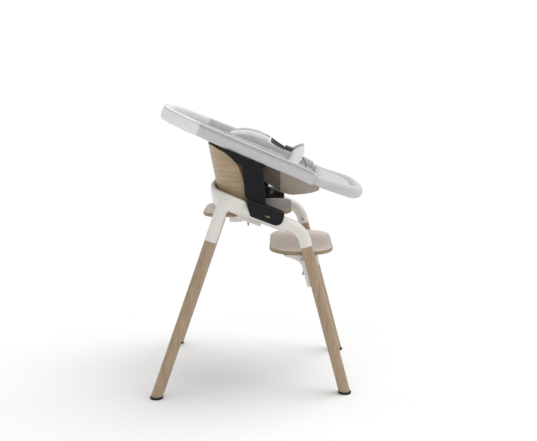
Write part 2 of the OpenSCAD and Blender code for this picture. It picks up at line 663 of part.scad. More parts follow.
// The sling hangs between the side bands: stations [y, depth below the band's centre line]
sling_stations = [[268, 8], [240, 14], [205, 19], [170, 22], [140, 28], [110, 40], [80, 52], [50, 61], [20, 71],
  [-10, 81], [-40, 90], [-65, 95], [-90, 93], [-115, 84], [-140, 70], [-165, 52], [-184, 36]];
sling_t = 6;
sling_across = 14;
function sling_point(s, k, up) =
  let (
    v = lerp(-1, 1, k / sling_across),
    inner = ring_w(s[0]) - band_w / 2 - 0.8,
    drop = s[1] * (1 - pow(abs(v), 2.8))
  )
  [inner * sign(v) * pow(abs(v), 0.8), s[0], ring_z(s[0]) - 7 - drop + up];
module grid_solid(rows) {
  n = len(rows);
  m = len(rows[0]);
  walls = [
    for (i = [0 : n - 2], j = [0 : m - 1])
      let (k = (j + 1) % m)
      each [[i * m + j, i * m + k, (i + 1) * m + j], [i * m + k, (i + 1) * m + k, (i + 1) * m + j]]
  ];
  half = m / 2;
  cap0 = [for (j = [0 : half - 2]) each [[j, m - 1 - j, j + 1], [j + 1, m - 1 - j, m - 2 - j]]];
  cap1 = [for (f = cap0) [f[0] + (n - 1) * m, f[2] + (n - 1) * m, f[1] + (n - 1) * m]];
  polyhedron(points = [for (r = rows) each r], faces = concat(walls, cap0, cap1), convexity = 8);
}
module sling() color(taupe) grid_solid([
  for (s = sling_stations) concat(
    [for (k = [0 : sling_across]) sling_point(s, k, 0)],
    [for (k = [sling_across : -1 : 0]) sling_point(s, k, sling_t)]
  )
]);
sling();

// A small pillow on the sling at the head end
module head_pad() color("white") grid_solid([
  for (s = [[262, 8], [240, 14], [205, 19], [178, 21]]) concat(
    [for (k = [3 : 11]) sling_point(s, k, sling_t + 0.4)],
    [for (k = [11 : -1 : 3]) sling_point(s, k, sling_t + 0.4 + 9 * (1 - pow(abs(k - 7) / 4.4, 2)))]
  )
]);
head_pad();

// The leg rest's flat pad, inside the sleeve
leg_pad_corners = [[96, -207, 34], [-96, -207, 34], [66, -252, 34], [-66, -252, 34]];
leg_pad_t = 18;
leg_pad_slope = 17;
module leg_rest_pad() color(grey_fabric)
  translate([0, -207, ring_z(-207)]) rotate([leg_pad_slope, 0, 0]) translate([0, 207, -leg_pad_t / 2 - 2])
    soft_plate(leg_pad_corners, leg_pad_t, 8);
leg_rest_pad();

// ---------- the harness ----------
module ribbon(points, across, w, t, steps = 5) {
  path = spline(points, steps);
  n = len(path);
  // the flat face lies along the given direction
  sweep(path, constant(across, n), constant([[-t / 2, -w / 2], [t / 2, -w / 2], [t / 2, w / 2], [-t / 2, w / 2]], n));
}
module padded_ribbon(points, across, w, t, steps = 5) {
  path = spline(points, steps);
  n = len(path);
  sweep(path, constant(across, n), [
    for (i = [0 : n - 1])
      let (e = min(i, n - 1 - i) / 3, f = e < 1 ? 0.55 + 0.45 * sqrt(e * (2 - e)) : 1)
      oval(t / 2 * f, w / 2 * f, 4, 16)
  ]);
}
web_t = 1.8;
shoulder_route = [[38, 128, 768], [44, 112, 779], [50, 92, 786], [54, 50, 790], [52, 5, 781], [47, -35, 764]];
module shoulder_pad(side) color(grey_fabric)
  padded_ribbon([for (i = [2 : 5]) flip(shoulder_route[i], side)], [side, 0, -0.25], 37, 9);
module shoulder_strap(side) color(black_plastic) {
  ribbon([for (i = [0 : 1]) flip(shoulder_route[i], side)], [side, 0, -0.25], web_w, web_t);
  ribbon([for (p = [[44, -42, 760], [36, -58, 749], [26, -74, 740]]) flip(p, side)],
    [side, 0.5, 0], web_w * 0.7, web_t);
}
module shoulder_strap_left() { shoulder_strap(1); }
module shoulder_strap_right() { shoulder_strap(-1); }
module shoulder_pad_left() { shoulder_pad(1); }
module shoulder_pad_right() { shoulder_pad(-1); }
shoulder_strap_left();
shoulder_strap_right();
shoulder_pad_left();
shoulder_pad_right();

hip_route = [[150, -92, 692], [128, -104, 702], [96, -118, 722], [64, -122, 735], [42, -120, 738]];
module hip_pad(side) color(grey_fabric)
  padded_ribbon([for (p = hip_route) flip(p, side)], [0, 1, -0.45], 42, 9);
module hip_pad_left() { hip_pad(1); }
module hip_pad_right() { hip_pad(-1); }
hip_pad_left();
hip_pad_right();
module crotch_strap() color(black_plastic)
  ribbon([[0, -136, 622], [0, -146, 650], [0, -146, 685], [0, -134, 712], [0, -123, 722]], [1, 0, 0], web_w, web_t);
crotch_strap();

// The buckle: a housing, two tongues that enter its sides and a push button on its face
buckle_spot = [0, -99, 732];
module on_buckle() translate(buckle_spot) rotate([band_slope, 0, 0]) children();
module buckle_body() color([0.25, 0.24, 0.26]) on_buckle() difference() {
  translate([0, 0, -6]) soft_plate([[13, 12, 8], [-13, 12, 8], [10, -14, 8], [-10, -14, 8]], 12, 3);
  translate([0, 0, 1.5]) cylinder(r = 8.1, h = 8);
  for (side = [-1, 1]) translate([side * 17, 3, -1.5]) cube([12, 14.4, 3.4], center = true);
}
buckle_body();
module buckle_button() color([0.32, 0.31, 0.33]) on_buckle() translate([0, 0, 4]) {
  cylinder(r = 8, h = 2);
  translate([0, 0, 2]) cylinder(r1 = 8, r2 = 7, h = 1);
}
buckle_button();
module buckle_tongue(side) color([0.25, 0.24, 0.26]) on_buckle() mirror([side < 0 ? 1 : 0, 0, 0]) {
  translate([11.5, -4, -3]) cube([11, 14, 3]);
  translate([0, 0, -4.5]) soft_plate([[26, 8, 4], [26, -2, 4], [37, 10, 3], [37, -6, 3]], 6, 1.5);
}
module buckle_tongue_left() { buckle_tongue(1); }
module buckle_tongue_right() { buckle_tongue(-1); }
buckle_tongue_left();
buckle_tongue_right();
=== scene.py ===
import json
import math

import bpy
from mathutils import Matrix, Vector, noise


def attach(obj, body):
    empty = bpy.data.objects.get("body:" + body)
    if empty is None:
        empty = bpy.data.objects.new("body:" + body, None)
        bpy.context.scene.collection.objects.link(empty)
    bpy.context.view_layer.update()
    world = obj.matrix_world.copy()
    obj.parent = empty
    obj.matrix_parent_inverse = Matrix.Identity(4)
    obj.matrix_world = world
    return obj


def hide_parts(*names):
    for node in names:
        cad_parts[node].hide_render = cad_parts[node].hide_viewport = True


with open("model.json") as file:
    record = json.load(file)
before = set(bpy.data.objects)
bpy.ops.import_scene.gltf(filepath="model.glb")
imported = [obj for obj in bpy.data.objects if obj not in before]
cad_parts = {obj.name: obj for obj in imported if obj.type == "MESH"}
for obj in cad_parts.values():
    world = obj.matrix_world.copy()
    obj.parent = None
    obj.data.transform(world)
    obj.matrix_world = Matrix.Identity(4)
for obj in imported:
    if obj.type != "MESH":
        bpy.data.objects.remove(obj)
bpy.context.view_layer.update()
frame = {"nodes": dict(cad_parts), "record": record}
nodes = frame["nodes"]
MM = 0.001
# A wave texture's scale, times the pitch of its bands in metres
WAVE = 0.314


# ---------- materials ----------
def srgb(r, g, b):
    """Linear colour from 0-255 display values."""
    return tuple(((c / 255 + 0.055) / 1.055) ** 2.4 if c > 10 else c / 255 / 12.92 for c in (r, g, b)) + (1,)


def node(tree, kind, links=(), **inputs):
    """A shader node with its inputs set to constants or linked to other nodes' outputs."""
    n = tree.nodes.new("ShaderNode" + kind)
    for key, value in inputs.items():
        n.inputs[key.replace("_", " ")].default_value = value
    for key, source in dict(links).items():
        tree.links.new(source, n.inputs[key])
    return n


def start(name, metallic=0.0, sheen=0.0, coat=0.0, specular=0.5):
    """A new material with the settings that all looks share."""
    mat = bpy.data.materials.new(name)
    mat.use_nodes = True
    tree = mat.node_tree
    shader = tree.nodes["Principled BSDF"]
    shader.inputs["Metallic"].default_value = metallic
    shader.inputs["Sheen Weight"].default_value = sheen
    shader.inputs["Sheen Roughness"].default_value = 0.4
    shader.inputs["Coat Weight"].default_value = coat
    shader.inputs["Coat Roughness"].default_value = 0.25
    shader.inputs["Specular IOR Level"].default_value = specular
    return mat, tree, shader


def mapped(tree, coord, stretch=(1, 1, 1), turn=(0, 0, 0)):
    """Texture coordinates, stretched and turned."""
    source = node(tree, "TexCoord").outputs[coord]
    place = node(tree, "Mapping", {"Vector": source})
    place.inputs["Scale"].default_value = stretch
    place.inputs["Rotation"].default_value = turn
    return place.outputs["Vector"]


def ramp(tree, fac, low, high, a=0.35, b=0.65):
    """A colour that goes from low to high as fac goes from a to b."""
    r = node(tree, "ValToRGB", {"Fac": fac})
    r.color_ramp.elements[0].position, r.color_ramp.elements[1].position = a, b
    r.color_ramp.elements[0].color, r.color_ramp.elements[1].color = low, high
    return r.outputs["Color"]


def spread(tree, fac, low, high):
    """A number that goes from low to high with fac."""
    return node(tree, "MapRange", {"Value": fac}, To_Min=low, To_Max=high).outputs["Result"]


def bumps(tree, shader, layers):
    """Stacks bump layers of (height, strength, distance) on the shader."""
    normal = None
    for height, strength, distance in layers:
        b = node(tree, "Bump", {"Height": height}, Strength=strength, Distance=distance)
        if normal:
            tree.links.new(normal, b.inputs["Normal"])
        normal = b.outputs["Normal"]
    tree.links.new(normal, shader.inputs["Normal"])


def surface(name, low, high, rough, scale, fine, **kind):
    """Moulded plastic, paint, rubber or metal: soft colour variation, rubbed patches and a fine grain."""
    mat, tree, shader = start(name, **kind)
    vec = mapped(tree, "Object")
    cloud = node(tree, "TexNoise", {"Vector": vec}, Scale=scale, Detail=5.0).outputs["Fac"]
    grain = node(tree, "TexNoise", {"Vector": vec}, Scale=fine[0], Detail=3.0).outputs["Fac"]
    tree.links.new(ramp(tree, cloud, low, high), shader.inputs["Base Color"])
    tree.links.new(spread(tree, cloud, rough - 0.07, rough + 0.07), shader.inputs["Roughness"])
    bumps(tree, shader, [(cloud, 0.15, 0.0004), (grain, fine[1], fine[2])])
    return mat


def wood(name, light, dark, stretch, turn=(0, 0, 0), plies=None):
    """Lacquered wood: growth lines, pores, and ply layers where plies gives their pitch and direction."""
    mat, tree, shader = start(name, coat=0.12)
    vec = mapped(tree, "Object", stretch, turn)
    lines = node(tree, "TexNoise", {"Vector": vec}, Scale=3.2, Detail=8.0, Roughness=0.62, Distortion=0.6)
    pores = node(tree, "TexNoise", {"Vector": vec}, Scale=14.0, Detail=4.0)
    colour = ramp(tree, lines.outputs["Fac"], light, dark, 0.34, 0.68)
    if plies:
        pitch, ply_turn = plies
        across_plies = mapped(tree, "Object", turn=ply_turn)
        layer = node(tree, "TexWave", {"Vector": across_plies}, Scale=WAVE / pitch, Distortion=0.3)
        layer.bands_direction = "Z"
        normal = node(tree, "NewGeometry").outputs["Normal"]
        normal_z = node(tree, "SeparateXYZ", {"Vector": normal}).outputs["Z"]
        flat = node(tree, "Math", {0: normal_z})
        flat.operation = "ABSOLUTE"
        edge = node(tree, "MapRange", {"Value": flat.outputs["Value"]},
                    From_Min=0.5, From_Max=0.85, To_Min=0.75, To_Max=0.0)
        tone = ramp(tree, layer.outputs["Fac"], tuple(c * 0.5 for c in dark[:3]) + (1,), light, 0.3, 0.6)
        mix = node(tree, "Mix")
        mix.data_type = "RGBA"
        tree.links.new(edge.outputs["Result"], mix.inputs[0])
        tree.links.new(colour, mix.inputs[6])
        tree.links.new(tone, mix.inputs[7])
        colour = mix.outputs[2]
    tree.links.new(colour, shader.inputs["Base Color"])
    tree.links.new(spread(tree, pores.outputs["Fac"], 0.36, 0.56), shader.inputs["Roughness"])
    bumps(tree, shader, [(lines.outputs["Fac"], 0.18, 0.0004), (pores.outputs["Fac"], 0.12, 0.0003)])
    return mat


def cloth(name, low, high, pitch, depth, coord="UV", rough=0.85, sheen=0.25, heather=90.0):
    """Woven or knitted fabric: crossed yarns, a heathered colour and soft creases."""
    mat, tree, shader = start(name, sheen=sheen, specular=0.25)
    vec = mapped(tree, coord)
    yarns = []
    for way in "XY":
        w = node(tree, "TexWave", {"Vector": vec}, Scale=WAVE / pitch, Distortion=0.8, Detail=1.0)
        w.bands_direction = way
        yarns.append(w.outputs["Fac"])
    weave = node(tree, "Math", {0: yarns[0], 1: yarns[1]})
    weave.operation = "MULTIPLY"
    solid = mapped(tree, "Object")
    tone = node(tree, "TexNoise", {"Vector": solid}, Scale=heather, Detail=8.0, Roughness=0.7)
    melange = tone.outputs["Fac"]
    crease = node(tree, "TexNoise", {"Vector": solid}, Scale=16.0, Detail=3.0).outputs["Fac"]
    tree.links.new(ramp(tree, melange, low, high, 0.3, 0.7), shader.inputs["Base Color"])
    tree.links.new(spread(tree, melange, rough - 0.08, rough + 0.08), shader.inputs["Roughness"])
    bumps(tree, shader, [(crease, 0.35, 0.002), (weave.outputs["Value"], 0.5, depth)])
    return mat


leg_wood = wood("leg_wood", srgb(178, 156, 129), srgb(152, 129, 102), (34, 34, 2.4), (0.05, 0, 0))
shell_wood = wood("shell_wood", srgb(184, 161, 131), srgb(160, 136, 107), (2.2, 2.2, 46))
board_wood = wood("board_wood", srgb(176, 154, 126), srgb(150, 127, 99),
                  (3, 30, 30), plies=(0.0024, (0.05, 0, 0)))
laminate = surface("laminate", srgb(240, 228, 217), srgb(234, 221, 209),
                   0.42, 18, (900, 0.05, 0.0002), coat=0.1)
paint = surface("frame_paint", srgb(233, 230, 223), srgb(228, 225, 217),
                0.4, 22, (420, 0.07, 0.0003), coat=0.15)
white = surface("white_plastic", srgb(232, 230, 225), srgb(227, 224, 218), 0.42, 30, (1100, 0.08, 0.0002))
rubber = surface("foot_rubber", srgb(40, 40, 41), srgb(30, 30, 31), 0.8, 60, (1500, 0.2, 0.0003))
steel = surface("steel", srgb(196, 197, 200), srgb(176, 177, 181),
                0.32, 90, (1800, 0.08, 0.0001), metallic=1.0)
black = surface("black_plastic", srgb(27, 28, 30), srgb(20, 21, 23),
                0.55, 40, (1700, 0.22, 0.0002), specular=0.22)
lever = surface("lever_plastic", srgb(104, 104, 106), srgb(92, 92, 95), 0.5, 40, (1700, 0.2, 0.0002))
green = surface("indicator", srgb(112, 134, 48), srgb(98, 120, 40),
                0.35, 60, (1500, 0.05, 0.0001), coat=0.4)
tube = surface("ring_aluminium", srgb(206, 207, 210), srgb(190, 191, 195),
               0.35, 50, (1400, 0.08, 0.0001), metallic=1.0)
dark_plastic = surface("buckle_plastic", srgb(66, 64, 67), srgb(54, 52, 55), 0.45, 50, (1700, 0.16, 0.0002))
grey_knit = cloth("cover_fabric", srgb(214, 212, 213), srgb(203, 201, 201), 0.0011, 0.0004)
grey_knit_3d = cloth("cover_fabric_soft", srgb(214, 212, 212), srgb(198, 196, 195),
                     0.0011, 0.0004, coord="Object")
# The sling's taupe painted darker as shade, for its rear panel and fold seam
sling_shaded_fabric = cloth("sling_fabric", srgb(118, 108, 98), srgb(98, 89, 81), 0.0013, 0.0004, heather=140.0)
mesh_liner = cloth("liner_mesh", srgb(206, 205, 205), srgb(184, 183, 183), 0.0026, 0.0009, heather=60.0)
head_cloth = cloth("head_fabric", srgb(244, 242, 241), srgb(236, 234, 233),
                   0.0009, 0.0003, coord="Object", rough=0.6)
head_cloth_uv = cloth("head_cover_fabric", srgb(244, 242, 241), srgb(237, 235, 234),
                      0.0009, 0.0003, rough=0.5)
pad_cloth = cloth("pad_fabric", srgb(224, 223, 224), srgb(210, 209, 210), 0.001, 0.0003, coord="Object")
webbing = cloth("webbing", srgb(52, 52, 54), srgb(38, 38, 40), 0.0016, 0.0006, rough=0.7, sheen=0.1)
# The same taupe painted lighter as lit, for the sling's front panel and hem
sling_lit_fabric = cloth("sling_front_fabric", srgb(176, 164, 152), srgb(160, 149, 138),
                    0.0013, 0.0004, heather=140.0)
thread = cloth("thread", srgb(176, 174, 174), srgb(160, 158, 158),
               0.0006, 0.0002, coord="Object", rough=0.7)
dark_thread = cloth("dark_thread", srgb(96, 94, 95), srgb(80, 78, 79),
                    0.0006, 0.0002, coord="Object", rough=0.7)

BY_SLOT = {
    "wood": leg_wood, "laminate": laminate, "frame_paint": paint, "white_plastic": white,
    "foot_rubber": rubber, "steel": steel, "lever_plastic": lever, "black_plastic": black,
    "indicator": green, "ring_aluminium": tube, "buckle_plastic": dark_plastic,
    "cover_fabric": grey_knit_3d, "sling_fabric": sling_shaded_fabric, "head_fabric": head_cloth,
    "pad_fabric": pad_cloth, "webbing": webbing,
}
for part in frame["record"]["subparts"]:
    name = part["node"]
    look = BY_SLOT[part["material_slot"]]
    if name == "backrest_shell":
        look = shell_wood
    elif name == "rear_collar":
        look = paint
    elif name.endswith("_board"):
        look = board_wood
    for s in nodes[name].material_slots:
        s.material = look


# ---------- mesh helpers ----------
# The left half of the frame ring's centre line, from the head end to the foot end
RING_HALF = [(0, 292, 851), (66, 284, 848), (112, 250, 835), (134, 200, 814), (152, 130, 785), (168, 50, 753),
             (175, -40, 716), (170, -120, 682), (160, -170, 657), (150, -205, 641), (138, -250, 626),
             (112, -288, 613), (62, -305, 606), (0, -309, 604)]
RING = [Vector(p) for p in RING_HALF] + [Vector((-p[0], p[1], p[2])) for p in RING_HALF[-2:0:-1]]
# The ring point where the padded band ends and the leg rest's sleeve begins
SEAM = 8
# Steps between two ring points
STEPS = 10
BAND_SLOPE = math.radians(22.3)
BAND_UP = Vector((0, -math.sin(BAND_SLOPE), math.cos(BAND_SLOPE)))
# Width of the padded band seen from above, and its height
BAND_W, BAND_H = 22.0, 41.0


def catmull(a, b, c, d, t):
    """The point at t on the smooth curve from b to c, with a before and d after them."""
    square, cube = 2 * a - 5 * b + 4 * c - d, 3 * b - a - 3 * c + d
    return 0.5 * (2 * b + (c - a) * t + square * t * t + cube * t ** 3)


def ring_path(first, last, n):
    """The ring's centre line from ring point first to last, in n steps a span."""
    def at(i):
        return RING[i % len(RING)]

    return [catmull(at(i - 1), at(i), at(i + 1), at(i + 2), k / n)
            for i in range(first, last) for k in range(n)] + [at(last)]


def spline(points, n):
    """A smooth open curve through the points, in n steps a span."""
    p = [Vector(q) for q in points]
    out = []
    for i in range(len(p) - 1):
        a, d = p[max(0, i - 1)], p[min(len(p) - 1, i + 2)]
        out += [catmull(a, p[i], p[i + 1], d, k / n) for k in range(n)]
    return out + [p[-1]]


def smooth(t):
    """Eases from 0 to 1 as t goes from 0 to 1."""
    t = min(1.0, max(0.0, t))
    return t * t * (3 - 2 * t)


def frames(path, up):
    """(point, direction, sideways, up) at each point of the path."""
    out = []
    for i, p in enumerate(path):
        t = (path[min(len(path) - 1, i + 1)] - path[max(0, i - 1)]).normalized()
        u = (up - t * up.dot(t)).normalized()
        out.append((p, t, t.cross(u), u))
    return out


def beside(path, across, rise):
    """The path moved sideways and up in its own frames."""
    return [p + s * across + u * rise for p, t, s, u in frames(path, BAND_UP)]


def oval(a, b, power, n):
    """An outline of n points between an ellipse (power 2) and a box (large power)."""
    out = []
    for k in range(n):
        t = 2 * math.pi * (k + 0.5) / n
        c, s = math.cos(t), math.sin(t)
        out.append((a * math.copysign(abs(c) ** (2 / power), c), b * math.copysign(abs(s) ** (2 / power), s)))
    return out


def add(name, verts, faces, mat, uvs=None):
    """A smooth mesh piece from points in millimetres."""
    mesh = bpy.data.meshes.new(name)
    mesh.from_pydata([tuple(v * MM for v in p) for p in verts], [], faces)
    if uvs:
        layer = mesh.uv_layers.new(name="weave")
        for loop in mesh.loops:
            layer.data[loop.index].uv = [c * MM for c in uvs[loop.vertex_index]]
    mesh.materials.append(mat)
    for poly in mesh.polygons:
        poly.use_smooth = True
    obj = bpy.data.objects.new(name, mesh)
    bpy.context.collection.objects.link(obj)
    return obj


def sweep(name, path, outline, mat, up=BAND_UP, shape=None):
    """outline(i) gives the section at path[i]; shape(i, j, point) may move a point a little."""
    verts, faces, uvs = [], [], []
    run, m = 0.0, len(outline(0))
    line = frames(path, up)
    for i, (p, t, side, u) in enumerate(line):
        if i:
            run += (path[i] - path[i - 1]).length
        around, last = 0.0, None
        for j, (a, b) in enumerate(outline(i)):
            q = Vector((a, b))
            around += (q - last).length if last is not None else 0
            last = q
            v = p + side * a + u * b
            verts.append(shape(i, j, v) if shape else v)
            uvs.append((run, around))
    for i in range(len(path) - 1):
        for j in range(m):
            k = (j + 1) % m
            faces.append((i * m + j, i * m + k, (i + 1) * m + k, (i + 1) * m + j))
    for i, backwards in ((0, True), (len(path) - 1, False)):
        loop = [i * m + j for j in range(m)]
        faces.append(tuple(reversed(loop)) if backwards else tuple(loop))
    return add(name, verts, [tuple(reversed(f)) for f in faces], mat, uvs)


def stitches(name, path, at, pitch, length, radius, mat, up=BAND_UP):
    """A row of separate stitches, each a short spindle, at (sideways, up) from the path."""
    verts, faces = [], []
    line = frames(path, up)
    run, next_at = 0.0, pitch / 2
    for i in range(len(line) - 1):
        (p, t, side, u), q = line[i], line[i + 1][0]
        step = (q - p).length
        while next_at < run + step:
            c = p + (q - p) * ((next_at - run) / step) + side * at(i)[0] + u * at(i)[1]
            base = len(verts)
            for d, r in ((-0.5, 0.35), (-0.25, 1.0), (0.25, 1.0), (0.5, 0.35)):
                for k in range(6):
                    w = 2 * math.pi * k / 6
                    verts.append(c + t * (d * length) + (side * math.cos(w) + u * math.sin(w)) * (radius * r))
            for ring in range(3):
                for k in range(6):
                    a, b = base + ring * 6 + k, base + ring * 6 + (k + 1) % 6
                    faces.append((a, b, b + 6, a + 6))
            faces += [tuple(base + k for k in range(5, -1, -1)), tuple(base + 18 + k for k in range(6))]
            next_at += pitch
        run += step
    return add(name, verts, faces, mat)


def baked(obj):
    """Replaces the object's mesh by what its modifiers make of it."""
    done = bpy.data.meshes.new_from_object(obj.evaluated_get(bpy.context.evaluated_depsgraph_get()))
    obj.modifiers.clear()
    obj.data = done


# Air pressure and number of frames of the cloth simulation
PRESSURE, CLOTH_FRAMES = 4.0, 20


def puff(obj, voxel, cap, shrink=0.0):
    """Remesh, blow up as cloth, hold every point within cap of where it began, then subdivide."""
    mod = obj.modifiers.new("even", "REMESH")
    mod.mode, mod.voxel_size, mod.use_smooth_shade = "VOXEL", voxel, True
    baked(obj)
    mesh = obj.data
    for v in mesh.vertices:
        v.co -= v.normal * shrink
    rest = [v.co.copy() for v in mesh.vertices]
    mod = obj.modifiers.new("cloth", "CLOTH")
    s = mod.settings
    s.use_pressure, s.uniform_pressure_force = True, PRESSURE
    s.quality, s.mass = 5, 0.2
    s.tension_stiffness = s.compression_stiffness = 12
    s.shear_stiffness, s.bending_stiffness = 6, 0.4
    s.effector_weights.gravity = 0
    mod.collision_settings.use_collision = False
    scene = bpy.context.scene
    for f in range(1, CLOTH_FRAMES + 1):
        scene.frame_set(f)
        bpy.context.view_layer.update()
    moved = obj.evaluated_get(bpy.context.evaluated_depsgraph_get()).to_mesh()
    target = [v.co.copy() for v in moved.vertices]
    obj.modifiers.clear()
    scene.frame_set(1)
    for v, a, b in zip(mesh.vertices, rest, target):
        d = b - a
        v.co = a + (d if d.length <= cap else d.normalized() * cap)
    mod = obj.modifiers.new("soft", "SUBSURF")
    mod.levels = mod.render_levels = 1
    baked(obj)
    for poly in obj.data.polygons:
        poly.use_smooth = True
    return obj


def copy_of(node_name, name, mat):
    """A copy of a CAD node's mesh as a piece of its own."""
    obj = bpy.data.objects.new(name, nodes[node_name].data.copy())
    bpy.context.collection.objects.link(obj)
    obj.data.materials.clear()
    obj.data.materials.append(mat)
    return obj


SET = "newborn_set"


def on_set(obj, slot, *replaced):
    """Puts a piece on the newborn set, in place of the CAD nodes named."""
    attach(obj, SET)
    if replaced:
        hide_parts(*replaced)
    return obj


def piping(name, path, radius, mat, slot, sides=8):
    """A round bead sewn along the path."""
    on_set(sweep(name, path, lambda i: oval(radius, radius, 2, sides), mat), slot)


def wobble(v, scale, amount):
    """Smooth noise at a point, the same on every run."""
    return amount * noise.noise(v * scale)


# ---------- the padded band of the main cover ----------
main_path = ring_path(-SEAM, SEAM, STEPS)
last_main = len(main_path) - 1


def end_round(i, last, reach):
    """Draws a sweep in a little over its first and last reach rings."""
    e = min(i, last - i) / reach
    return 0.92 + 0.08 * math.sqrt(max(0.0, 1 - (1 - min(1, e)) ** 2))


def band_outline(i):
    f = end_round(i, last_main, 4)
    return oval((BAND_W / 2 - 0.4) * f, (BAND_H / 2 - 0.6) * f, 2.7, 36)


def band_shape(i, j, v):
    pucker = 0.35 * math.sin(i * 1.9) * (0.4 + 0.6 * abs(noise.noise(v * 0.02)))
    lift, lean = wobble(v, 0.028, 0.9), pucker + wobble(v, 0.06, 0.5)
    return v + Vector((0, 0, 1)) * lift + Vector((1, 0, 0)) * lean


band = on_set(sweep("rim_band", main_path, band_outline, grey_knit, shape=band_shape),
              "cover_fabric", "rim_cover")
# The band's outer face, and the two rows of stitches below its top edge
outer = -(BAND_W / 2 - 0.9)
STITCH_ROWS = {"a": 13.0, "b": 9.6}
STITCH_PITCH, STITCH_L, STITCH_R = 4.4, 3.0, 0.42
for label, height in STITCH_ROWS.items():
    row = stitches("rim_stitch_" + label, main_path[3:-3], lambda i, h=height: (outer - 0.1, h),
                   STITCH_PITCH, STITCH_L, STITCH_R, thread)
    on_set(row, "cover_fabric")
top_line = beside(main_path, outer + 1.2, BAND_H / 2 - 3.0)
piping("rim_piping", top_line[2:-2], 1.7, grey_knit, "cover_fabric", sides=10)
inner_line = beside(main_path, BAND_W / 2 - 1.5, -5.0)
piping("rim_inner_seam", inner_line[2:-2], 0.9, thread, "cover_fabric")

# the near-white cover drawn over the head end
HEAD_FROM, COVER_GAP = 172, 0.9
head_path = [p for p in main_path if p.y > HEAD_FROM]


def head_outline(i):
    f = end_round(i, len(head_path) - 1, 3)
    return oval((BAND_W / 2 + COVER_GAP) * f, (BAND_H / 2 + COVER_GAP) * f, 2.6, 40)


hood = on_set(sweep("head_cover", head_path, head_outline, head_cloth_uv, shape=band_shape), "head_fabric")
hood_line = beside(head_path, -(BAND_W / 2 - 0.6), BAND_H / 2 - 2.2)
piping("head_cover_piping", hood_line[3:-3], 1.5, head_cloth_uv, "head_fabric")

# ---------- the leg rest ----------
foot_path = ring_path(SEAM, len(RING) - SEAM, STEPS)
last_foot = len(foot_path) - 1


def foot_size(p):
    """Half width and half height of the sleeve, fuller towards the foot end."""
    return (11.5 + 5.1 * smooth((-p.y - 200) / 100), 15.5 + 4.0 * smooth((-p.y - 180) / 110))


def foot_outline(i):
    w, h = foot_size(foot_path[i])
    f = end_round(i, last_foot, 4)
    return oval((w - 0.4) * f, (h - 0.5) * f, 2.2, 32)


sleeve = on_set(sweep("leg_rest_sleeve", foot_path, foot_outline, grey_knit,
                      shape=lambda i, j, v: v + BAND_UP * wobble(v, 0.03, 0.9)),
                "cover_fabric", "leg_rest_cover")
foot_seam = [p - s * (foot_size(p)[0] - 0.7) + u * 1.0 for p, t, s, u in frames(foot_path, BAND_UP)]
piping("leg_rest_piping", foot_seam[2:-2], 1.3, grey_knit, "cover_fabric")


def cushion(name, outline, centre, height, rings, mat):
    """A pillow over a closed outline: fullest inside, thin at the edge, the same above and below."""
    m, verts = len(outline), []
    for sign in (1, -1):
        for r in range(rings):
            s = (r + 1) / rings
            for q in outline:
                v = centre + (q - centre) * math.sin(s * math.pi / 2)
                verts.append(v + BAND_UP * (sign * height * (1 - s ** 5) ** 0.5))
        verts.append(centre + BAND_UP * (sign * height))
    half, faces = rings * m + 1, []
    for side in (0, 1):
        base = side * half
        for r in range(rings - 1):
            for j in range(m):
                k = (j + 1) % m
                f = (base + r * m + j, base + r * m + k, base + (r + 1) * m + k, base + (r + 1) * m + j)
                faces.append(f if side else f[::-1])
        for j in range(m):
            f = (base + half - 1, base + j, base + (j + 1) % m)
            faces.append(f[::-1] if side else f)
    top, bottom = (rings - 1) * m, half + (rings - 1) * m
    for j in range(m):
        k = (j + 1) % m
        faces.append((top + j, bottom + j, bottom + k, top + k))
    return add(name, verts, faces, mat)


PANEL_FROM, PANEL_TUCK, PANEL_H = -172, 6, 9.0
panel_middle = Vector((0, -235, 630))
panel_edge = [p + s * (foot_size(p)[0] - PANEL_TUCK)
              for p, t, s, u in frames(foot_path, BAND_UP) if p.y < PANEL_FROM]
panel = cushion("leg_rest_panel", panel_edge, panel_middle, PANEL_H, 7, grey_knit_3d)
puff(panel, voxel=0.005, cap=0.006, shrink=0.0015)
on_set(panel, "cover_fabric", "leg_rest_pad")

# ---------- the sling and its liner ----------
# The sling's stations: y, and how far its middle hangs below its edges there
STATIONS = [(268, 8), (240, 14), (205, 19), (170, 22), (140, 28), (110, 40), (80, 52), (50, 61), (20, 71),
            (-10, 81), (-40, 90), (-65, 95), (-90, 93), (-115, 84), (-140, 70), (-165, 52), (-184, 36)]


def ring_at(y):
    """Half width and height of the ring's centre line at y."""
    for a, b in zip(RING_HALF, RING_HALF[1:]):
        if b[1] <= y:
            t = (y - a[1]) / (b[1] - a[1])
            return a[0] + (b[0] - a[0]) * t, a[2] + (b[2] - a[2]) * t
    return RING_HALF[-1][0], RING_HALF[-1][2]


def sling_point(y, depth, v, up):
    """A point of the sling, v running from -1 at the right band to 1 at the left one."""
    w, z = ring_at(y)
    inner = w - BAND_W / 2 - 0.8
    sag = 7 + depth * (1 - abs(v) ** 2.8)
    return Vector((inner * math.copysign(abs(v) ** 0.8, v), y, z - sag + up))


rows = spline([(y, d, 0) for y, d in STATIONS], 4)
# Cells across the sling, and how far its cloth ripples
ACROSS, RIPPLE = 48, 1.1
FOLD_Y = -64
SLING_UP, SLING_T = 0.3, 1.4
LINER_UP, LINER_T = 2.4, 2.8


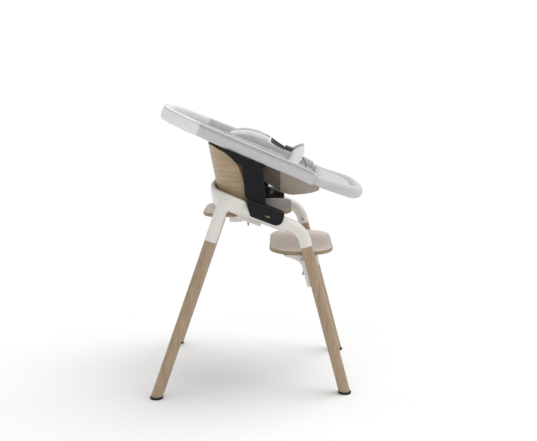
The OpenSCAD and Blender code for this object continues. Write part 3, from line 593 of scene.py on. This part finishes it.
def sling_sheet(name, up, thick, mat, from_row=0, to_row=None):
    """A closed sheet through some of the sling's rows, lifted by up, with its upper face thick above."""
    part = rows[from_row:to_row]
    verts, uvs, faces = [], [], []
    for layer in (0, 1):
        run = 0.0
        for i, r in enumerate(part):
            run += (part[i] - part[i - 1]).length if i else 0
            for k in range(ACROSS + 1):
                v = -1 + 2 * k / ACROSS
                p = sling_point(r.x, r.y, v, up + layer * thick)
                edge = 1 - abs(v) ** 6
                p.z += RIPPLE * edge * noise.noise(Vector((p.x * 0.02, p.y * 0.035, 3.0)))
                verts.append(p)
                uvs.append((p.x, run))
    n, m = len(part), ACROSS + 1
    for i in range(n - 1):
        for k in range(m - 1):
            a = i * m + k
            faces.append((a, a + m, a + m + 1, a + 1))
            b = a + n * m
            faces.append((b, b + 1, b + m + 1, b + m))
    rim = list(range(m)) + [i * m + m - 1 for i in range(1, n)]
    rim += [(n - 1) * m + k for k in range(m - 2, -1, -1)] + [i * m for i in range(n - 2, 0, -1)]
    for a, b in zip(rim, rim[1:] + rim[:1]):
        faces.append((a, b, b + n * m, a + n * m))
    return add(name, verts, faces, mat, uvs)


# The row at which the sling's rear panel, its taupe painted darker as shade, meets the front panel, the same
# taupe painted lighter as lit
fold = next(i for i, r in enumerate(rows) if r.x < FOLD_Y)
for label, mat, first, last in (("rear", sling_shaded_fabric, 0, fold + 1), ("front", sling_lit_fabric, fold, None)):
    panel_cloth = on_set(sling_sheet("sling_" + label, SLING_UP, SLING_T, mat, first, last),
                         "sling_fabric", "sling")
fold_line = [sling_point(rows[fold].x, rows[fold].y, -0.97 + 1.94 * k / 60, SLING_UP) for k in range(61)]
on_set(sweep("sling_fold_seam", fold_line, lambda i: oval(1.2, 1.2, 2, 8), sling_shaded_fabric, up=Vector((0, -1, 0))),
       "sling_fabric")
liner = on_set(sling_sheet("sling_liner", LINER_UP, LINER_T, mesh_liner), "cover_fabric")
for sign, label in ((1, "left"), (-1, "right")):
    seam_line = [sling_point(r.x, r.y, sign * 0.62, 5.6) for r in rows[4:-3]]
    row = stitches("liner_stitch_" + label, seam_line, lambda i: (0, 0), 5.0, 3.2, 0.45, thread,
                   up=Vector((0, 0, 1)))
    on_set(row, "cover_fabric")
front_hem = [sling_point(*STATIONS[-1], -0.98 + 1.96 * k / 40, 3.0) for k in range(41)]
on_set(sweep("sling_hem", front_hem, lambda i: oval(2.2, 3.6, 2.4, 12), sling_lit_fabric, up=Vector((0, 0, 1))),
       "sling_fabric")

pillow = copy_of("head_pad", "head_pillow", head_cloth)
puff(pillow, voxel=0.0025, cap=0.004)
on_set(pillow, "head_fabric", "head_pad")

# ---------- the harness ----------
# Centre lines of the harness: shoulder, its lower end and hip on the left side, crotch in the middle
SHOULDER = [(38, 128, 768), (44, 112, 779), (50, 92, 786), (54, 50, 790), (52, 5, 781), (47, -35, 764)]
LOWER = [(44, -42, 760), (36, -58, 749), (26, -74, 740)]
HIP = [(150, -92, 692), (128, -104, 702), (96, -118, 722), (64, -122, 735), (42, -120, 738)]
CROTCH = [(0, -136, 622), (0, -146, 650), (0, -146, 685), (0, -134, 712), (0, -123, 722)]
# Width and thickness of the webbing
WEB_W, WEB_T = 22.0, 1.8
# How far a web runs into what it joins
TUCK = 6.0
SHOULDER_PAD_W, HIP_PAD_W = 37, 42


def strap(name, points, across, width, *replaced):
    """Flat webbing along the points, with a row of stitches near each edge."""
    path = spline(points, 8)
    web = sweep(name, path, lambda i: oval(WEB_T / 2, width / 2, 8, 20), webbing, up=Vector(across))
    on_set(web, "webbing", *replaced)
    for edge in (-1, 1):
        row = stitches(f"{name}_edge_{'ab'[edge > 0]}", path, lambda i: (WEB_T / 2, edge * (width / 2 - 2.2)),
                       3.6, 2.4, 0.25, dark_thread, up=Vector(across))
        on_set(row, "webbing")


def pad(node_name, points, across, width):
    """A soft harness pad made from its CAD solid, with a bead along each edge."""
    obj = copy_of(node_name, node_name + "_soft", pad_cloth)
    puff(obj, voxel=0.004, cap=0.005, shrink=0.0008)
    on_set(obj, "pad_fabric", node_name)
    path = spline(points, 8)
    for edge in (-1, 1):
        label = "ab"[edge > 0]
        line = [p + u * (edge * (width / 2 - 0.6)) for p, t, s, u in frames(path, Vector(across))][3:-3]
        piping(f"{node_name}_piping_{label}", line, 1.5, head_cloth, "pad_fabric")


def reach(points, far):
    """The points, with both ends pushed out so that the web runs into what it joins."""
    first, second, before, last = (Vector(points[i]) for i in (0, 1, -2, -1))
    start_at = first + (first - second).normalized() * far
    end_at = last + (last - before).normalized() * far
    return [tuple(start_at), *points[1:-1], tuple(end_at)]


def flip(points, side):
    """The points on the left (side 1) or mirrored to the right (side -1)."""
    return [(side * x, y, z) for x, y, z in points]


for side, label in ((1, "left"), (-1, "right")):
    strap("shoulder_web_" + label, flip(SHOULDER[:2], side), (side, 0, -0.25), WEB_W,
          "shoulder_strap_" + label)
    strap("shoulder_end_" + label, flip(reach(LOWER, TUCK), side), (side, 0.5, 0), WEB_W * 0.7)
    pad("shoulder_pad_" + label, flip(SHOULDER[2:], side), (side, 0, -0.25), SHOULDER_PAD_W)
    pad("hip_pad_" + label, flip(HIP, side), (0, 1, -0.45), HIP_PAD_W)
strap("crotch_web", CROTCH, (1, 0, 0), WEB_W, "crotch_strap")

# ---------- the stage ----------
FLOOR = 9000
floor_corners = [(-FLOOR, -FLOOR, 0), (FLOOR, -FLOOR, 0), (FLOOR, FLOOR, 0), (-FLOOR, FLOOR, 0)]
floor = add("floor", floor_corners, [(0, 1, 2, 3)],
            surface("floor_paper", srgb(244, 244, 244), srgb(242, 242, 242), 0.9, 3, (60, 0.02, 0.001)))
scene = bpy.context.scene
scene.view_settings.view_transform = "Standard"
world = bpy.data.worlds.new("studio")
scene.world = world
world.use_nodes = True
# The sky lights the object softly, and looks white to the camera
SKY_LIGHT, SKY_SEEN = 0.64, 1.02
sky = world.node_tree
seen = sky.nodes.new("ShaderNodeLightPath").outputs["Is Camera Ray"]
level = sky.nodes.new("ShaderNodeMapRange")
level.inputs["To Min"].default_value, level.inputs["To Max"].default_value = SKY_LIGHT, SKY_SEEN
sky.links.new(seen, level.inputs["Value"])
sky.nodes["Background"].inputs["Color"].default_value = (1, 1, 1, 1)
sky.links.new(level.outputs["Result"], sky.nodes["Background"].inputs["Strength"])


def sun(name, at, power, angle):
    """A soft sun that shines from at towards the origin."""
    data = bpy.data.lights.new(name, "SUN")
    data.energy, data.angle = power, angle
    obj = bpy.data.objects.new(name, data)
    obj.location = at
    obj.rotation_euler = (-Vector(at)).to_track_quat("-Z", "Y").to_euler()
    bpy.context.collection.objects.link(obj)


sun("sky", at=(0.5, -1.2, 3.2), power=1.7, angle=0.9)

# The photo's view: the camera's place, and the direction it looks in
CAMERA_AT, CAMERA_LOOK = (-2.540, -0.080, 0.977), (0.9828, 0.0199, -0.1836)
camera_data = bpy.data.cameras.new("camera")
camera_data.lens, camera_data.sensor_width = 53.83, 36
camera = bpy.data.objects.new("camera", camera_data)
camera.location = CAMERA_AT
camera.rotation_euler = Vector(CAMERA_LOOK).to_track_quat("-Z", "Y").to_euler()
bpy.context.collection.objects.link(camera)
scene.camera = camera
